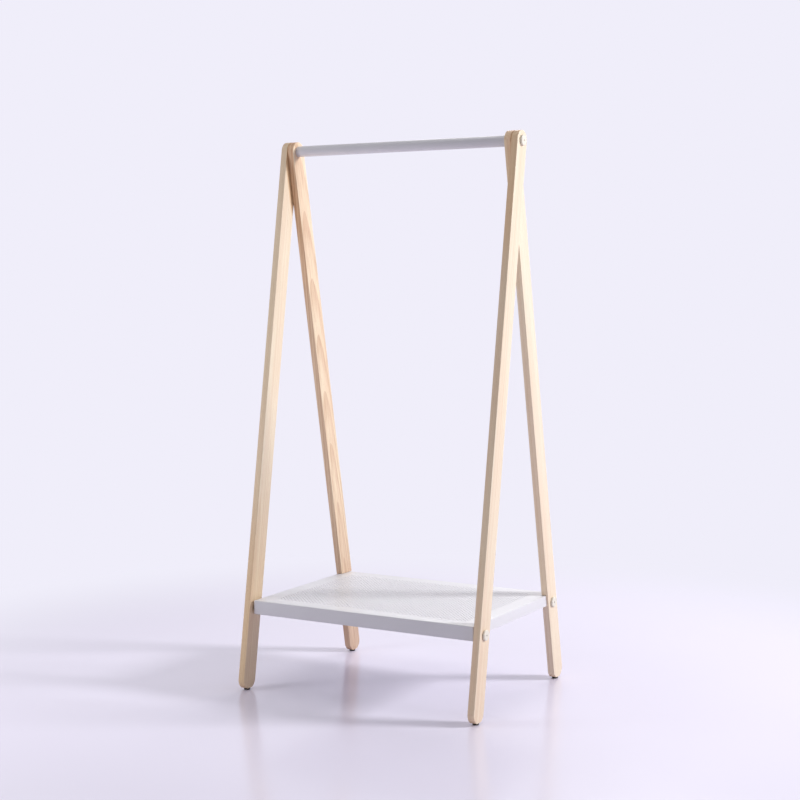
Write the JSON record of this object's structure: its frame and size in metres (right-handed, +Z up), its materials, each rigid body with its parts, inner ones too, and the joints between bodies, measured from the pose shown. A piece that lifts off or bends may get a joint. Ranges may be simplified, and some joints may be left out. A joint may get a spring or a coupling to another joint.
{
  "type": "open frame wardrobe",
  "caption": "Open clothes rack with leaning wooden end frames bolted at the top to a round hanging rail, and a perforated steel shelf let into the legs.",
  "frame": {"origin": "on the floor, midway between the four feet", "axes": "+Z up, +X to the right along the rail as seen from the front, the front faces -Y"},
  "size_m": [0.712, 0.5368, 1.4338],
  "materials": {
    "beech": "pale beech, clear matt lacquer",
    "coated_steel": "light grey powder coat, satin",
    "zinc": "zinc plated",
    "nylon": "dark moulded nylon",
    "rubber": "black, matt"
  },
  "bodies": {
    "root": {"foot_pad_front_left": "rubber", "foot_pad_front_right": "rubber", "foot_pad_rear_left": "rubber", "foot_pad_rear_right": "rubber", "hanging_rail": "coated_steel", "leg_front_left": "beech", "leg_front_right": "beech", "leg_rear_left": "beech", "leg_rear_right": "beech", "pivot_bolt_left": "coated_steel", "pivot_bolt_right": "coated_steel", "pivot_washer_left": "nylon", "pivot_washer_right": "nylon", "rail_plug_left": "zinc", "rail_plug_right": "zinc", "shelf_bolt_front_left": "coated_steel", "shelf_bolt_front_right": "coated_steel", "shelf_bolt_rear_left": "coated_steel", "shelf_bolt_rear_right": "coated_steel", "shelf_nut_front_left": "zinc", "shelf_nut_front_right": "zinc", "shelf_nut_rear_left": "zinc", "shelf_nut_rear_right": "zinc", "shelf_spacer_left": "nylon", "shelf_spacer_right": "nylon", "shelf_tray": "coated_steel"}
  },
  "joints": []
}
